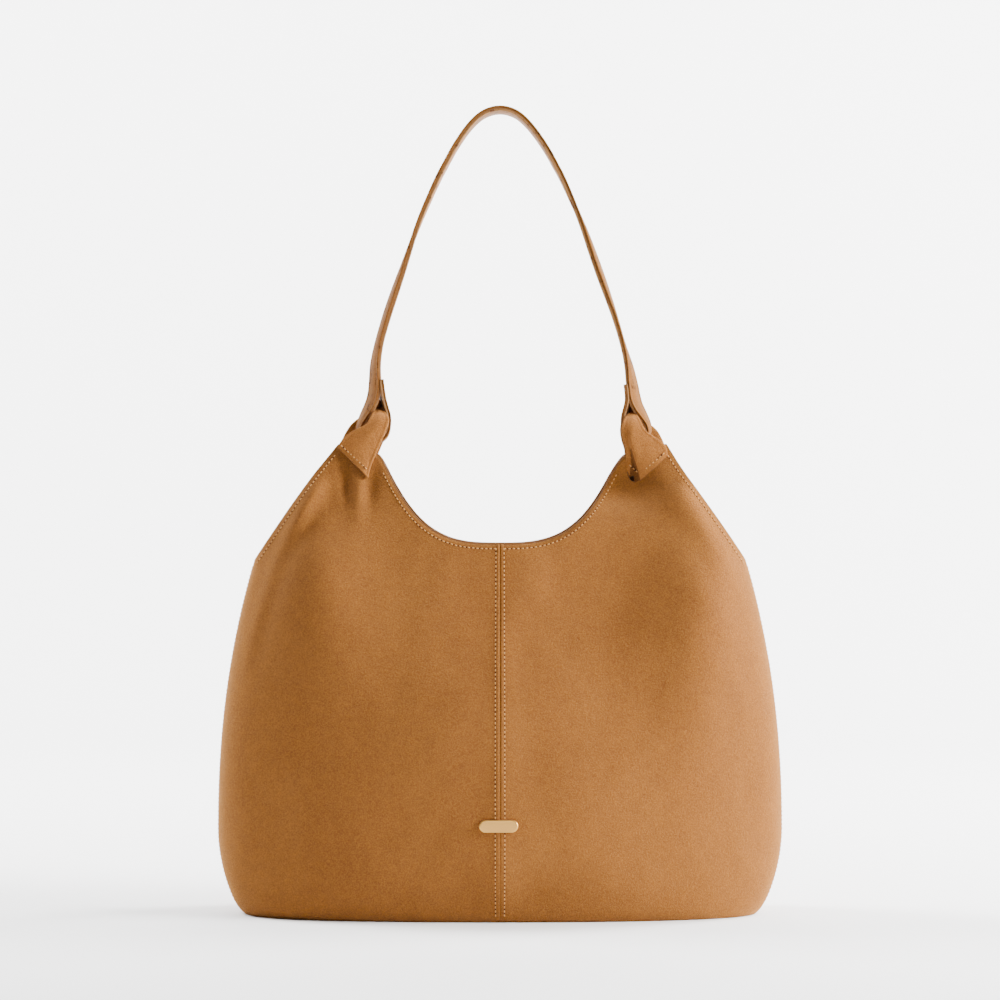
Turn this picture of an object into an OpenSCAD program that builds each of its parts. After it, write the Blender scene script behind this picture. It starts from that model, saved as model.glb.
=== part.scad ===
// Slouchy suede hobo bag. One soft body with a scooped neckline and a pointed
// wing at each side. A tongue on each wing arches over a loop at the end of the
// shoulder strap. Units are millimetres. +Z is up, the front faces -Y, the width
// runs along X, and the middle of the base is at the origin.

/* [Body] */

// Greatest width of the body, a little above the base
body_width = 414; // [396:1:430]
// Greatest depth of the body, front to back
body_depth = 130; // [118:1:140]
// Height of the lowest point of the scooped neckline
neck_height = 271; // [258:1:284]
// Height of the panel tips under the two tongues
wing_height = 338; // [333:1:345]
// Height where the side seam ends and the free wing edge starts
kink_height = 258; // [250:1:264]
// Thickness of the suede
suede = 1.6; // [1.2:0.1:1.8]

/* [Strap] */

// Height of the top of the strap above the middle of the end loops
strap_rise = 239; // [200:1:270]
// Width of the strap over the shoulder
strap_width = 24; // [21:0.5:28]
// Width of the strap where it passes under the tongue
strap_end_width = 20; // [16:0.5:20]
// Whole thickness of the strap, three layers
strap_thickness = 4; // [3.4:0.1:4.2]

/* [Tongues] */

// Width of the tongue where it arches through the strap loop
tongue_width = 9; // [7:0.5:9]
// Thickness of the folded tongue
tongue_thickness = 3.4; // [2.8:0.1:3.6]

/* [Inside] */

// Length of the zip chain
zip_length = 160; // [140:2:170]
// Width of the open pocket on the front lining
slip_width = 150; // [120:2:160]
// Diameter of the magnetic snap
snap_d = 18; // [14:0.5:20]

/* [Hidden] */

$fn = 48;

tan_suede = [0.72, 0.49, 0.28];
cream = [0.86, 0.80, 0.68];
gold = [0.80, 0.63, 0.32];
cloth = [0.78, 0.70, 0.56];

belly_z = 63;
side_in = 26.5;
half_width = body_width / 2;
half_depth = body_depth / 2;
neck_in = half_depth - 36;
// sine of the way round at which the neckline meets the tip, and the tip the side
tip_in = 0.62;
tip_out = 0.85;
axis_z = wing_height + 15;
loop_x = 95.95;
loop_r = 8.5;
tongue_r = 14.5;
gap = 0.3;

// ---------- the outer surface of the body ----------

function smooth(t) = let (c = max(0, min(1, t))) c * c * (3 - 2 * c);

// half width of a level section at height z, running on past the kink
function half_w(z) = z < belly_z
    ? half_width - 16 * pow((belly_z - z) / belly_z, 2) - 4 * exp(-z / 5)
    : half_width - side_in * pow((z - belly_z) / 195, 2.15);

// half depth of the same section
function half_d(z) = z < belly_z
    ? half_depth - 5 * pow((belly_z - z) / belly_z, 2) - 8 * exp(-z / 5)
    : half_depth - neck_in * pow((z - belly_z) / 208, 1.9);

// squareness of the section: rounder near the base, squarer near the neck
function squareness(z) = 2.5 + 0.7 * smooth((z - 60) / 180);

// depth of the surface, as a share of half_d, at share s of the half width
function depth_share(s, z) = let (n = squareness(z)) pow(max(0, 1 - pow(s, n)), 1 / n);

function surface_y(x, z) = half_d(z) * depth_share(min(1, abs(x) / half_w(z)), z);

// unit outward normal, for the quarter with x and y positive
function outward(s, z) = let (
    n = squareness(z), a = half_w(z), b = half_d(z), t = depth_share(s, z),
    da = half_w(z + 0.4) - half_w(z - 0.4), db = half_d(z + 0.4) - half_d(z - 0.4),
    g = [pow(s, n - 1) / a, pow(t, n - 1) / b,
        -(pow(s, n) * da / a + pow(t, n) * db / b) / 0.8]) g / norm(g);

// a point of the surface moved inwards by d, kept just clear of both middle planes
function skin(s, z, d) = let (
    p = [s * half_w(z), half_d(z) * depth_share(s, z), z] - d * outward(s, z))
    [max(0.05, p[0]), max(0.05, p[1]), p[2]];

// height of the free edge: neckline, level tip, slanting wing edge
function top_z(s) = s <= tip_in ? neck_height + (wing_height - neck_height) * pow(s / tip_in, 2.1)
    : s <= tip_out ? wing_height
    : kink_height + (wing_height - kink_height) * pow((1 - s) / (1 - tip_out), 0.93);

fine_steps = concat([for (i = [0:7]) tip_in * i / 8], [0.62, 0.7, 0.775, 0.85],
    [for (k = [1:8]) 1 - 0.15 * pow(1 - k / 8, 2.2)]);
coarse_steps = concat([for (i = [0:4]) tip_in * i / 5], [0.62, 0.735, 0.85],
    [for (k = [1:4]) 1 - 0.15 * pow(1 - k / 4, 2.2)]);

// two faces of a sheet, each rows by cols points, joined all round its edge
function sheet_faces(rows, cols, flip) = let (
    n = rows * cols, edge = concat([for (j = [0:cols - 1]) j],
        [for (i = [1:rows - 1]) i * cols + cols - 1],
        [for (j = [cols - 2:-1:0]) (rows - 1) * cols + j],
        [for (i = [rows - 2:-1:1]) i * cols]),
    tris = concat(
        [for (i = [0:rows - 2], j = [0:cols - 2]) each let (a = i * cols + j)
            [[a, a + cols, a + 1], [a + 1, a + cols, a + cols + 1]]],
        [for (i = [0:rows - 2], j = [0:cols - 2]) each let (a = n + i * cols + j)
            [[a, a + 1, a + cols], [a + 1, a + cols + 1, a + cols]]],
        [for (k = [0:len(edge) - 1]) each let (a = edge[k], b = edge[(k + 1) % len(edge)])
            [[a, b, n + a], [b, n + b, n + a]]]))
    flip ? [for (t = tris) [t[0], t[2], t[1]]] : tris;

// quarter of the skin: side and face are +1 or -1 along X and Y
module quarter(side, face, near, far) {
    rows = [for (j = [0:18]) pow(j / 18, 1.6)];
    points = [for (d = [near, far], v = rows, s = fine_steps)
        let (p = skin(s, v * top_z(s), d)) [side * p[0], face * p[1], p[2]]];
    polyhedron(points, sheet_faces(len(rows), len(fine_steps), side * face < 0));
}

// half of the skin from side to side, between two shares of the height
module half_skin(face, near, far, low, high, count, steps) {
    back = [for (k = [len(steps) - 1:-1:1]) -steps[k]];
    across = concat(back, steps);
    points = [for (d = [near, far], j = [0:count], s = across)
        let (v = low + (high - low) * j / count, z = v * top_z(abs(s)),
            p = skin(abs(s), z, d), q = abs(s) < 0.001 ? 0 : sign(s) * p[0])
        [q, face * p[1], p[2]]];
    polyhedron(points, sheet_faces(count + 1, len(across), face < 0));
}

// outline of the body at height z, drawn in by d
function ring(z, d) = [for (k = [0:5:355]) let (
    c = cos(k), s = sin(k), p = 2 / squareness(z))
    [sign(c) * (half_w(z) - d) * pow(abs(c), p), sign(s) * (half_d(z) - d) * pow(abs(s), p)]];

// ---------- suede shell ----------

module front_panel_left() color(tan_suede) quarter(-1, -1, 0, suede);
module front_panel_right() color(tan_suede) quarter(1, -1, 0, suede);
module back_panel_left() color(tan_suede) quarter(-1, 1, 0, suede);
module back_panel_right() color(tan_suede) quarter(1, 1, 0, suede);

module base_panel() color(tan_suede) linear_extrude(suede) polygon(ring(0, 1.1));

// stiff board that keeps the base flat
module base_board() color([0.55, 0.5, 0.42])
    translate([0, 0, suede + 0.2]) linear_extrude(2) polygon(ring(0, 6));

module lining_floor() color(cloth)
    translate([0, 0, suede + 2.4]) linear_extrude(0.7) polygon(ring(0, 4.5));

module lining_front() color(cloth)
    half_skin(-1, suede + gap, suede + gap + 0.7, 0.022, 0.855, 12, coarse_steps);
module lining_back() color(cloth)
    half_skin(1, suede + gap, suede + gap + 0.7, 0.022, 0.855, 12, coarse_steps);
module facing_front() color(tan_suede)
    half_skin(-1, suede + gap, suede + gap + 1, 0.865, 0.985, 3, fine_steps);
module facing_back() color(tan_suede)
    half_skin(1, suede + gap, suede + gap + 1, 0.865, 0.985, 3, fine_steps);

// ---------- tongues ----------

// each station: middle x, middle z, half width, tilt, and the way round the arch
foot = [[108, -23.5, 14.5, 45], [105.5, -21, 12.5, 38], [102.5, -18.2, 10, 28],
    [99.5, -16, 7.8, 18], [97.2, -13.8, 5.6, 6], [loop_x, -11, 0.5 * tongue_width, 0]];

function foot_point(side, face, f, q, d) = let (
    x = f[0] + q * f[2] * cos(f[3]), z = axis_z + f[1] + q * f[2] * sin(f[3]),
    y = max(tongue_r, z < wing_height + 1 ? surface_y(x, min(z, wing_height)) + 0.25 : 0) + d)
    [side * x, face * y, z];

function arch_point(side, angle, q, d) = [side * (loop_x + q * tongue_width / 2),
    -(tongue_r + d) * cos(angle), axis_z + (tongue_r + d) * sin(angle)];

module tongue(side) {
    across = [-1, -0.5, 0, 0.5, 1];
    points = [for (d = [tongue_thickness, 0]) each concat(
        [for (f = foot, q = across) foot_point(side, -1, f, q, d)],
        [for (angle = [0:15:180], q = across) arch_point(side, angle, q, d)],
        [for (k = [len(foot) - 1:-1:0], q = across) foot_point(side, 1, foot[k], q, d)])];
    polyhedron(points, sheet_faces(2 * len(foot) + 13, 5, side > 0));
}

module tongue_left() color(tan_suede) tongue(-1);
module tongue_right() color(tan_suede) tongue(1);

// ---------- plain gold bar on the front ----------

module ornament_bar() color(gold) translate([0, -half_depth - 0.25, 71]) rotate([90, 0, 0]) {
    translate([-10, -4.5, 0]) cube([20, 9, 1.8]);
    translate([-10, 0, 0]) cylinder(d = 9, h = 1.8);
    translate([10, 0, 0]) cylinder(d = 9, h = 1.8);
}

// ---------- magnetic snap under the neckline ----------

snap_z = neck_height - 22;
snap_tilt = atan((half_d(snap_z - 10) - half_d(snap_z + 10)) / 20);

// the inner face of the facing, with +Z turned towards the inside of the bag
module at_snap(face) {
    y = half_d(snap_z) - (suede + gap + 1.2) / cos(snap_tilt);
    translate([0, face * y, snap_z]) rotate([face * (90 + snap_tilt), 0, 0]) children();
}

module snap_patch_front() color(tan_suede) at_snap(-1) cylinder(d = snap_d + 14, h = 1);
module snap_patch_back() color(tan_suede) at_snap(1) cylinder(d = snap_d + 14, h = 1);

module snap_socket() color(gold) at_snap(-1) translate([0, 0, 1.1]) difference() {
    cylinder(d = snap_d, h = 3.2);
    translate([0, 0, 1.6]) cylinder(d = 6.4, h = 2);
}
module snap_stud() color(gold) at_snap(1) translate([0, 0, 1.1]) {
    cylinder(d = snap_d, h = 2);
    cylinder(d = 5.8, h = 3.4);
}

// ---------- open pocket on the front lining ----------

pocket_low = 98;
slip_high = 198;
slip_tilt = atan((half_d(pocket_low) - half_d(slip_high)) / (slip_high - pocket_low));

module at_slip() {
    y = half_d(slip_high) * depth_share(0.42, slip_high) - suede - 2.4;
    translate([0, -y, slip_high]) rotate([-slip_tilt, 0, 0]) children();
}

module slip_pocket() color(cloth) at_slip()
    translate([-slip_width / 2, 0, -100]) cube([slip_width, 0.8, 100]);
module slip_pocket_hem() color(tan_suede) at_slip()
    translate([-slip_width / 2, 0.9, -12]) cube([slip_width, 0.8, 12]);

// ---------- zip pocket on the back lining ----------
// Drawn flat, with X along the chain, +Y to the inside of the bag and Z up the sheet,
// then turned to lie along the back.

zip_z = 198;
zip_tilt = atan((half_d(pocket_low) - half_d(zip_z)) / (zip_z - pocket_low));
zip_y = half_d(zip_z + 12) * depth_share(0.52, zip_z + 12) - suede - 3.4;
slot = zip_length + 6;

module at_zip() translate([0, zip_y, zip_z])
    rotate([180 + zip_tilt, 0, 0]) mirror([0, 0, 1]) children();

module slab(w, low, high, y, thick) translate([-w / 2, y, low]) cube([w, thick, high - low]);

module zip_pocket() color(cloth) at_zip() difference() {
    slab(slot + 26, -100, 13, 0, 0.8);
    slab(slot, -5.5, 5.5, -1, 3);
}
module zip_welt() color(tan_suede) at_zip() difference() {
    slab(slot + 16, -11.5, 11.5, 0.9, 1);
    slab(slot, -5.5, 5.5, 0, 3);
}
module zip_tape_upper() color(cloth) at_zip() slab(slot + 6, 2.1, 11, -0.8, 0.7);
module zip_tape_lower() color(cloth) at_zip() slab(slot + 6, -11, -2.1, -0.8, 0.7);

// a cord with a tooth every four millimetres
module teeth(low, high) {
    slab(zip_length, low, high, -0.9, 1);
    for (i = [0:floor(zip_length / 4) - 1])
        translate([-zip_length / 2 + 1 + i * 4, -1.2, low]) cube([2, 1.6, high - low]);
}
module zip_teeth_upper() color(gold) at_zip() teeth(0.7, 2);
module zip_teeth_lower() color(gold) at_zip() teeth(-2, -0.7);

module zip_stops() color(gold) at_zip() for (side = [-1, 1])
    translate([side * (zip_length / 2 + 1.2) - 0.8, -1.3, -2]) cube([1.6, 1.8, 4]);

slider_x = -zip_length / 2 + 6;

// two plates joined by a post between the rows of teeth, with an eye on the outside
module zip_slider() color(gold) at_zip() translate([slider_x, 0, 0]) {
    translate([-4.5, 0.75, -3.6]) cube([9, 1, 7.2]);
    translate([-4.5, -2.6, -3.6]) cube([9, 1, 7.2]);
    translate([-2.5, -2.6, -0.35]) cube([5, 4.2, 0.7]);
    difference() {
        translate([-2, 1.7, -1.5]) cube([4, 3.9, 3]);
        translate([0, 3.7, -2]) cylinder(d = 2, h = 4);
    }
}

// pull tab hung on a pin through the eye of the slider
module zip_puller() color(gold) at_zip() translate([slider_x, 3.7, 0]) {
    translate([0, 0, -3.2]) cylinder(d = 1.3, h = 6.4);
    for (side = [-1, 1]) translate([-1, -0.9, side * 2.5 - 0.7]) cube([7, 1.8, 1.4]);
    translate([4.5, -0.9, -3.2]) cube([24, 1.8, 6.4]);
}

// ---------- shoulder strap ----------

// scale the long part of the strap to its height and leave the end loops alone
function lift(z) = let (d = z - 360) axis_z + (d < 46 ? d : 46 + (d - 46) * (strap_rise - 48) / 191);

// the middle line of one half, from the top of the shoulder to the turned-up end
half_line = concat([[0, 597], [12, 594.2], [23.5, 584.8], [32, 571.5], [40.3, 556.5],
    [47.8, 541.5], [60.2, 512.3], [70.9, 483], [81, 453.4], [89.8, 424], [95, 406],
    [97.7, 395.5], [100.4, 386.8], [103.1, 378], [104.5, 370]],
    [for (k = [0:30:180]) [loop_x + 0.2 + loop_r * cos(k), 362 - loop_r * sin(k)]],
    [[87.75, 370], [88.6, 378], [89.6, 386], [89.7, 393], [89.2, 399]]);

function curve(a, b, c, d, t) = 0.5 * (2 * b + (c - a) * t + (2 * a - 5 * b + 4 * c - d) * t * t
    + (3 * b - a - 3 * c + d) * t * t * t);

half_count = len(half_line);
line = concat([for (k = [half_count - 1:-1:1]) [-half_line[k][0], lift(half_line[k][1])]],
    [for (p = half_line) [p[0], lift(p[1])]]);
count = len(line);
path = concat([for (i = [0:count - 2], k = [0:2]) curve(line[max(0, i - 1)], line[i],
    line[i + 1], line[min(count - 1, i + 2)], k / 3)], [line[count - 1]]);
last = len(path) - 1;

function side_step(i) = let (t = path[min(last, i + 1)] - path[max(0, i - 1)]) [t[1], -t[0]] / norm(t);

// one layer of the strap between two distances from the middle line
module layer(low, high) intersection() {
    rotate([90, 0, 0]) translate([0, 0, -strap_width]) linear_extrude(2 * strap_width)
        polygon(concat([for (i = [0:last]) path[i] + low * side_step(i)],
            [for (i = [last:-1:0]) path[i] + high * side_step(i)]));
    rotate([90, 0, 90]) translate([0, 0, -200]) linear_extrude(400) polygon([
        [-strap_end_width / 2, axis_z - 60], [strap_end_width / 2, axis_z - 60],
        [strap_end_width / 2, axis_z + 36], [strap_width / 2, axis_z + 75],
        [strap_width / 2, axis_z + 400], [-strap_width / 2, axis_z + 400],
        [-strap_width / 2, axis_z + 75], [-strap_end_width / 2, axis_z + 36]]);
}

module strap_outer() color(tan_suede) layer(-strap_thickness / 2, -0.4);
module strap_core() color([0.6, 0.55, 0.45]) layer(-0.4, 0.4);
module strap_lining() color(cream) layer(0.4, strap_thickness / 2);

front_panel_left();
front_panel_right();
back_panel_left();
back_panel_right();
base_panel();
base_board();
lining_floor();
lining_front();
lining_back();
facing_front();
facing_back();
tongue_left();
tongue_right();
ornament_bar();
snap_patch_front();
snap_socket();
snap_patch_back();
snap_stud();
slip_pocket();
slip_pocket_hem();
zip_pocket();
zip_welt();
zip_tape_upper();
zip_tape_lower();
zip_teeth_upper();
zip_teeth_lower();
zip_stops();
zip_slider();
zip_puller();
strap_outer();
strap_core();
strap_lining();
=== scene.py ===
import math

import bmesh
import bpy
import numpy as np
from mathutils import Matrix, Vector


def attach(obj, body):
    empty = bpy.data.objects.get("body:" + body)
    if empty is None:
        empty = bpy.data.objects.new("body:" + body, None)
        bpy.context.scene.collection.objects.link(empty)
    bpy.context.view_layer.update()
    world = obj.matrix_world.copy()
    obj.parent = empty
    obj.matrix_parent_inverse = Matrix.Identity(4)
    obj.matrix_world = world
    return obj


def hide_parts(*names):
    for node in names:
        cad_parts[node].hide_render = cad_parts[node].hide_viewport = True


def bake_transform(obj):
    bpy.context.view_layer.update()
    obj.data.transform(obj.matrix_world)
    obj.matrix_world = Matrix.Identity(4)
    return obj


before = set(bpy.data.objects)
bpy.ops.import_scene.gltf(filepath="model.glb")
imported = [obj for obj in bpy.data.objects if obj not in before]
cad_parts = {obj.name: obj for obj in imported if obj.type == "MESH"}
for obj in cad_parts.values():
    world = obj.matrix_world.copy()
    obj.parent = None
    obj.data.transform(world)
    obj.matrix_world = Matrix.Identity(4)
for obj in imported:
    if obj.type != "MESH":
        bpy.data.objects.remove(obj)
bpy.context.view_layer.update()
MM = 0.001

# ------------------------------------------------------------------ camera, stage, lights

# a long lens at 2.2 m, at about the middle height of the bag with its strap up
cam_data = bpy.data.cameras.new("camera")
cam_data.sensor_width = 36
cam_data.lens = 107.6
cam = bpy.data.objects.new("camera", cam_data)
cam.location = (0.0, -2.2, 0.303)
cam.rotation_euler = (math.radians(90), 0, 0)
bpy.context.scene.collection.objects.link(cam)
bpy.context.scene.camera = cam


def tree(name):
    """A new material with its node graph and its shader."""
    mat = bpy.data.materials.new(name)
    mat.use_nodes = True
    graph = mat.node_tree
    shader = graph.nodes["Principled BSDF"]
    return mat, graph, shader


def node(graph, kind, **values):
    """A new node; each value goes to the input or the setting of that name."""
    new = graph.nodes.new(kind)
    for key, value in values.items():
        if key in new.inputs:
            new.inputs[key].default_value = value
        else:
            setattr(new, key, value)
    return new


def mix(graph, factor, first, second):
    """Colour mix; each of factor, first and second is a socket or a value."""
    new = graph.nodes.new("ShaderNodeMix")
    new.data_type = "RGBA"
    for socket, value in ((new.inputs[0], factor), (new.inputs[6], first), (new.inputs[7], second)):
        if isinstance(value, bpy.types.NodeSocket):
            graph.links.new(value, socket)
        else:
            socket.default_value = value if isinstance(value, float) else (*value, 1.0)
    return new.outputs[2]


def scaled(colour, factor):
    return tuple(part * factor for part in colour)


def grey(level):
    return (level,) * 3


def ramp(graph, source, stops):
    """A colour ramp on a socket, from stops of (place, colour)."""
    new = graph.nodes.new("ShaderNodeValToRGB")
    graph.links.new(source, new.inputs["Fac"])
    colours = new.color_ramp
    while len(colours.elements) < len(stops):
        colours.elements.new(0.5)
    for stop, (place, colour) in zip(colours.elements, stops):
        stop.position = place
        stop.color = (*colour, 1.0)
    return new.outputs["Color"]


def ramp_to(graph, source, stops, target):
    """A colour ramp on a socket, joined to an input."""
    graph.links.new(ramp(graph, source, stops), target)


def noise(graph, coords, scale, detail, rough, stretch=None):
    """Noise of the object's own place; stretch scales its three directions."""
    if stretch:
        mapping = node(graph, "ShaderNodeMapping", Scale=stretch)
        graph.links.new(coords, mapping.inputs["Vector"])
        coords = mapping.outputs["Vector"]
    new = node(graph, "ShaderNodeTexNoise", Scale=scale, Detail=detail, Roughness=rough)
    graph.links.new(coords, new.inputs["Vector"])
    return new.outputs["Fac"]


def bump(graph, shader, height, strength, distance, normal=None):
    new = node(graph, "ShaderNodeBump", Strength=strength, Distance=distance)
    graph.links.new(height, new.inputs["Height"])
    if normal:
        graph.links.new(normal, new.inputs["Normal"])
    graph.links.new(new.outputs["Normal"], shader.inputs["Normal"])
    return new.outputs["Normal"]


def suede_material(name, dark, mid, light, sheen, seed=0.0, depth=1.0, flecks=0.0):
    """Napped suede in three tones; seed shifts its pattern, and flecks is how much its dark spots show."""
    mat, graph, shader = tree(name)
    coords = graph.nodes.new("ShaderNodeTexCoord").outputs["Object"]
    if seed:
        mapping = node(graph, "ShaderNodeMapping", Location=(seed, seed * 0.7, 0))
        graph.links.new(coords, mapping.inputs["Vector"])
        coords = mapping.outputs["Vector"]
    grain = noise(graph, coords, 1000.0, 3.0, 0.75)
    blotch = noise(graph, coords, 120.0, 4.0, 0.65)
    brush = noise(graph, coords, 9.0, 3.0, 0.5, stretch=(1.0, 1.0, 0.8))
    swipe = noise(graph, coords, 26.0, 3.0, 0.6, stretch=(1.0, 1.0, 0.45))
    base = ramp(graph, brush, [(0.30, dark), (0.50, mid), (0.72, light)])
    colour = mix(graph, 0.55, base, ramp(graph, swipe, [(0.3, dark), (0.52, mid), (0.75, light)]))
    colour = mix(graph, 0.26, colour, ramp(graph, blotch, [(0.34, dark), (0.5, mid), (0.66, light)]))
    fine = ramp(graph, grain, [(0.34, scaled(dark, 0.45)), (0.5, mid), (0.66, scaled(light, 1.35))])
    colour = mix(graph, 0.42, colour, fine)
    if flecks:
        spots = noise(graph, coords, 170.0, 3.0, 0.7, stretch=(1.0, 1.0, 0.6))
        marks = ramp(graph, spots, [(0.58, grey(0)), (0.64, grey(flecks))])
        colour = mix(graph, marks, colour, scaled(dark, 0.35))
    graph.links.new(colour, shader.inputs["Base Color"])
    ramp_to(graph, blotch, [(0.3, grey(0.86)), (0.7, grey(1.0))], shader.inputs["Roughness"])
    shader.inputs["Specular IOR Level"].default_value = 0.12
    shader.inputs["Sheen Weight"].default_value = sheen
    shader.inputs["Sheen Roughness"].default_value = 0.42
    shader.inputs["Sheen Tint"].default_value = (1.0, 0.52, 0.16, 1.0)
    soft = bump(graph, shader, blotch, 0.35, 0.0012 * depth)
    bump(graph, shader, grain, 0.8, 0.0006 * depth, soft)
    return mat


def leather_material(name, base, fleck, amount):
    """Smooth leather with a fine grain and plain soft flecks."""
    mat, graph, shader = tree(name)
    shader.inputs["Specular IOR Level"].default_value = 0.2
    coords = graph.nodes.new("ShaderNodeTexCoord").outputs["Object"]
    tone = noise(graph, coords, 60.0, 4.0, 0.6)
    spots = noise(graph, coords, 240.0, 3.0, 0.7, stretch=(1.0, 1.0, 0.55))
    colour = ramp(graph, tone, [(0.3, scaled(base, 0.86)), (0.7, base)])
    colour = mix(graph, ramp(graph, spots, [(0.56, grey(0)), (0.63, grey(amount))]), colour, fleck)
    graph.links.new(colour, shader.inputs["Base Color"])
    cells = node(graph, "ShaderNodeTexVoronoi", Scale=900.0)
    graph.links.new(coords, cells.inputs["Vector"])
    ramp_to(graph, tone, [(0.3, grey(0.62)), (0.7, grey(0.75))], shader.inputs["Roughness"])
    bump(graph, shader, cells.outputs["Distance"], 0.22, 0.0002)
    return mat


def paint_material(name, base, rough=0.75):
    """Matt paint or a cut edge, slightly speckled."""
    mat, graph, shader = tree(name)
    shader.inputs["Specular IOR Level"].default_value = 0.15
    coords = graph.nodes.new("ShaderNodeTexCoord").outputs["Object"]
    speckle = noise(graph, coords, 420.0, 3.0, 0.6)
    ramp_to(graph, speckle, [(0.3, scaled(base, 0.75)), (0.7, base)], shader.inputs["Base Color"])
    ramp_to(graph, speckle, [(0.3, grey(rough - 0.08)), (0.7, grey(rough + 0.1))], shader.inputs["Roughness"])
    bump(graph, shader, speckle, 0.3, 0.0002)
    return mat


def thread_material(name, base):
    mat, graph, shader = tree(name)
    coords = graph.nodes.new("ShaderNodeTexCoord").outputs["Object"]
    fibre = noise(graph, coords, 1800.0, 2.0, 0.6)
    ramp_to(graph, fibre, [(0.3, scaled(base, 0.7)), (0.7, base)], shader.inputs["Base Color"])
    shader.inputs["Roughness"].default_value = 0.75
    shader.inputs["Specular IOR Level"].default_value = 0.2
    bump(graph, shader, fibre, 0.5, 0.0002)
    return mat


def cloth_material(name, base, scale=700.0):
    """Woven cloth with fine diagonal ribs; a larger scale is a finer weave."""
    mat, graph, shader = tree(name)
    coords = graph.nodes.new("ShaderNodeTexCoord").outputs["Object"]
    weave = node(graph, "ShaderNodeTexWave", Scale=scale, Distortion=0.6)
    weave.bands_direction = "DIAGONAL"
    graph.links.new(coords, weave.inputs["Vector"])
    tone = noise(graph, coords, 90.0, 4.0, 0.6)
    colour = ramp(graph, tone, [(0.3, scaled(base, 0.82)), (0.7, base)])
    ribs = ramp(graph, weave.outputs["Fac"], [(0.2, scaled(base, 0.6)), (0.8, base)])
    colour = mix(graph, 0.3, colour, ribs)
    graph.links.new(colour, shader.inputs["Base Color"])
    shader.inputs["Roughness"].default_value = 0.9
    shader.inputs["Sheen Weight"].default_value = 0.15
    bump(graph, shader, weave.outputs["Fac"], 0.4, 0.0003)
    return mat


def metal_material(name, base, rough):
    mat, graph, shader = tree(name)
    coords = graph.nodes.new("ShaderNodeTexCoord").outputs["Object"]
    streaks = noise(graph, coords, 300.0, 4.0, 0.7, stretch=(1.0, 1.0, 6.0))
    ramp_to(graph, streaks, [(0.3, scaled(base, 0.9)), (0.7, base)], shader.inputs["Base Color"])
    shader.inputs["Metallic"].default_value = 1.0
    ramp_to(graph, streaks, [(0.3, grey(rough)), (0.7, grey(rough + 0.12))], shader.inputs["Roughness"])
    bump(graph, shader, streaks, 0.12, 0.0001)
    return mat


def stage_material():
    mat, _, shader = tree("stage_white")
    shader.inputs["Base Color"].default_value = (0.9, 0.9, 0.9, 1)
    shader.inputs["Roughness"].default_value = 0.9
    return mat


def dome_material():
    mat, _, shader = tree("stage_dome")
    shader.inputs["Base Color"].default_value = (0, 0, 0, 1)
    shader.inputs["Specular IOR Level"].default_value = 0.0
    shader.inputs["Emission Color"].default_value = (1, 1, 1, 1)
    shader.inputs["Emission Strength"].default_value = 4.0
    return mat


SUEDE = suede_material("suede", (0.136, 0.047, 0.0082), (0.180, 0.066, 0.0128), (0.234, 0.092, 0.0185),
                       0.36)
SUEDE_STRAP = suede_material("suede_strap", (0.095, 0.034, 0.006), (0.130, 0.048, 0.009),
                             (0.165, 0.065, 0.0135), 0.05, seed=0.4, depth=0.35, flecks=0.8)
SUEDE_TAB = suede_material("suede_tongue", (0.182, 0.064, 0.0125), (0.226, 0.083, 0.017),
                           (0.275, 0.107, 0.024), 0.2, seed=2.1)
# painted shade: a darker copy of the tongue suede, laid in the cavity behind the right tongue's fold
SUEDE_FOLD_SHADE = suede_material("suede_painted_fold_shade", (0.075, 0.026, 0.005), (0.10, 0.036, 0.007),
                            (0.13, 0.048, 0.010), 0.05, seed=2.1)
SUEDE_BACK = suede_material("suede_flesh_side", (0.20, 0.082, 0.024), (0.245, 0.105, 0.033),
                            (0.285, 0.13, 0.042), 0.3, seed=1.3)
CREAM = leather_material("cream_leather", (0.255, 0.116, 0.036), (0.08, 0.03, 0.01), 0.85)
EDGE = paint_material("edge_paint", (0.15, 0.058, 0.016))
CORE = paint_material("core_edge", (0.20, 0.082, 0.025), 0.7)
# painted shade: the needle holes' dark colour stands for the shade inside them
HOLE_SHADE = paint_material("needle_hole_painted_shade", (0.045, 0.016, 0.005), 0.9)
THREAD = thread_material("thread", (0.52, 0.25, 0.075))
LINING = cloth_material("lining_cloth", (0.50, 0.39, 0.26))
TAPE = cloth_material("zip_tape_cloth", (0.26, 0.15, 0.07), 1100.0)
BOARD = cloth_material("board", (0.36, 0.29, 0.2), 300.0)
GOLD = metal_material("gold", (0.74, 0.42, 0.12), 0.26)
BRASS = metal_material("brushed_brass", (0.60, 0.33, 0.09), 0.36)

world = bpy.data.worlds.new("world")
bpy.context.scene.world = world
world.use_nodes = True
world_graph = world.node_tree
way = world_graph.nodes.new("ShaderNodeTexCoord").outputs["Generated"]
split = world_graph.nodes.new("ShaderNodeSeparateXYZ")
world_graph.links.new(way, split.inputs[0])
sky = ramp(world_graph, split.outputs["Z"],
           [(0.0, grey(0.25)), (0.2, grey(0.22)), (0.42, grey(0.05)), (1.0, grey(0.03))])
world_graph.links.new(sky, world_graph.nodes["Background"].inputs["Color"])
world_graph.nodes["Background"].inputs["Strength"].default_value = 1.0


def light(name, place, target, size, power):
    """A round area light at a place, aimed at a target."""
    lamp = bpy.data.lights.new(name, "AREA")
    lamp.shape = "DISK"
    lamp.size = size
    lamp.energy = power
    obj = bpy.data.objects.new(name, lamp)
    obj.location = place
    obj.rotation_euler = (Vector(target) - Vector(place)).to_track_quat("-Z", "Y").to_euler()
    bpy.context.scene.collection.objects.link(obj)


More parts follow.
